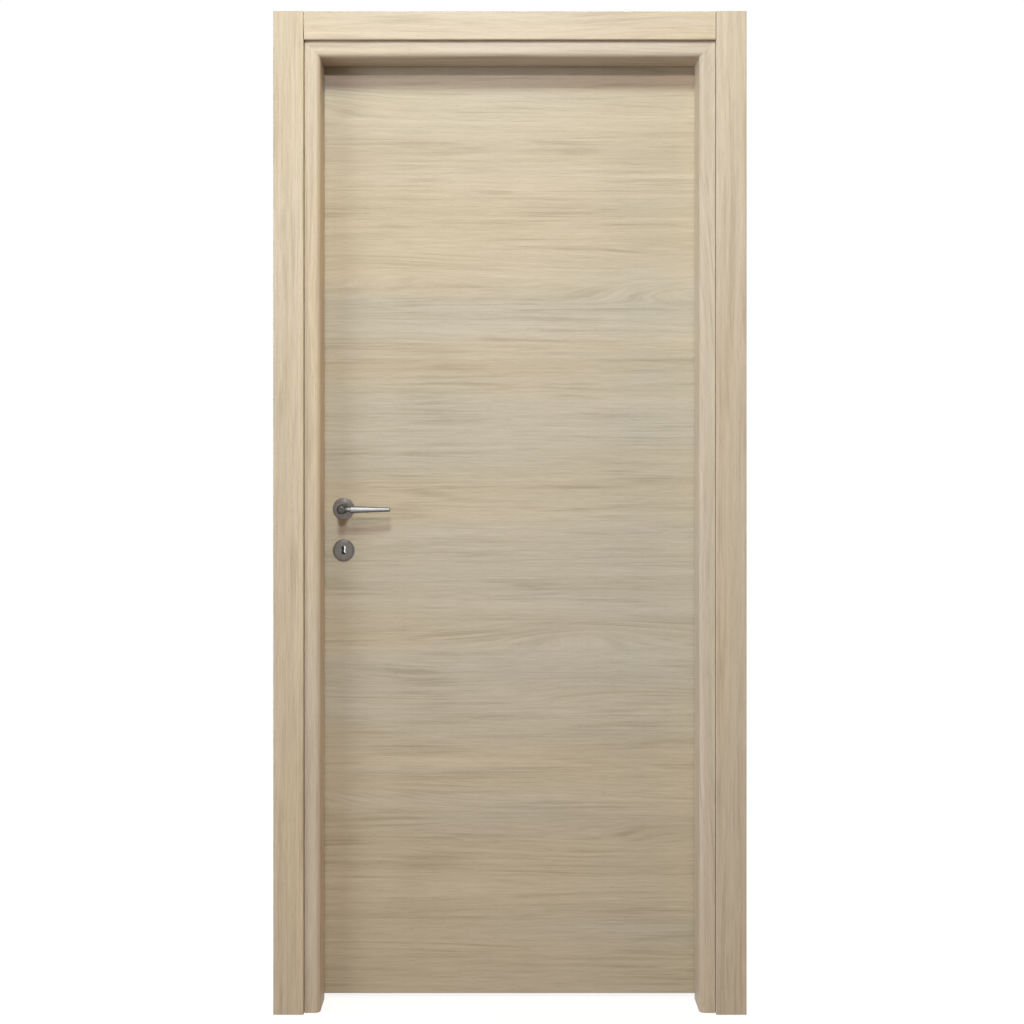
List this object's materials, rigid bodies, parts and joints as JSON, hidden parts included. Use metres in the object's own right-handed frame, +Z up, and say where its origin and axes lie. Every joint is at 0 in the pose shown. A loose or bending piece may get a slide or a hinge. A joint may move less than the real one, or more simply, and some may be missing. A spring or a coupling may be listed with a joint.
{
  "type": "interior door",
  "caption": "Flush interior door hung in a mitred lining with flat casings. The leaf swings away from the push side and has a lever handle and a keyhole on round roses.",
  "frame": {"origin": "on the wall face of the hinge jamb, at floor level, half way through the wall", "axes": "+X out of that face into the wall, +Y from the push side to the pull side, +Z up"},
  "size_m": [0.995, 0.179, 2.1085],
  "materials": {
    "oak_leaf": "matt bleached oak laminate, grain across the leaf",
    "oak_lining": "matt bleached oak laminate, grain along each piece",
    "oak_casing": "matt bleached oak laminate, grain along each piece",
    "leaf_framing": "timber framing, oak laminate on its outer edges",
    "satin_nickel": "satin nickel plate",
    "lock_steel": "satin plated steel",
    "seal": "soft beige seal"
  },
  "bodies": {
    "frame": {"hinge_jamb": "oak_lining", "latch_jamb": "oak_lining", "head_jamb": "oak_lining", "front_hinge_casing": "oak_casing", "front_latch_casing": "oak_casing", "front_head_casing": "oak_casing", "back_hinge_casing": "oak_casing", "back_latch_casing": "oak_casing", "back_head_casing": "oak_casing", "hinge_seal": "seal", "latch_seal": "seal", "head_seal": "seal", "strike_plate": "lock_steel", "hinge_1_jamb_half": "satin_nickel", "hinge_2_jamb_half": "satin_nickel", "hinge_3_jamb_half": "satin_nickel"},
    "leaf": {"leaf_front_skin": "oak_leaf", "leaf_back_skin": "oak_leaf", "leaf_latch_stile": "leaf_framing", "leaf_hinge_stile": "leaf_framing", "leaf_top_rail": "leaf_framing", "leaf_bottom_rail": "leaf_framing", "lock_case": "lock_steel", "lock_faceplate": "lock_steel", "latch_bolt": "lock_steel", "deadbolt": "lock_steel", "front_lever_rose": "satin_nickel", "back_lever_rose": "satin_nickel", "front_key_rose": "satin_nickel", "back_key_rose": "satin_nickel", "hinge_1_leaf_half": "satin_nickel", "hinge_2_leaf_half": "satin_nickel", "hinge_3_leaf_half": "satin_nickel"},
    "lever_set": {"front_lever": "satin_nickel", "back_lever": "satin_nickel", "spindle": "lock_steel"}
  },
  "joints": [
    {"name": "door_swing", "type": "hinge", "parent": "frame", "child": "leaf", "pos_m": [-0.021, 0.068, 1.015], "axis": [0, 0, -1], "range_deg": [0, 170]},
    {"name": "lever_turn", "type": "hinge", "parent": "leaf", "child": "lever_set", "pos_m": [-0.806, 0.048, 1.059], "axis": [0, 1, 0], "range_deg": [0, 40], "stiffness_Nm_per_rad": 1, "springref_deg": -28.65}
  ]
}
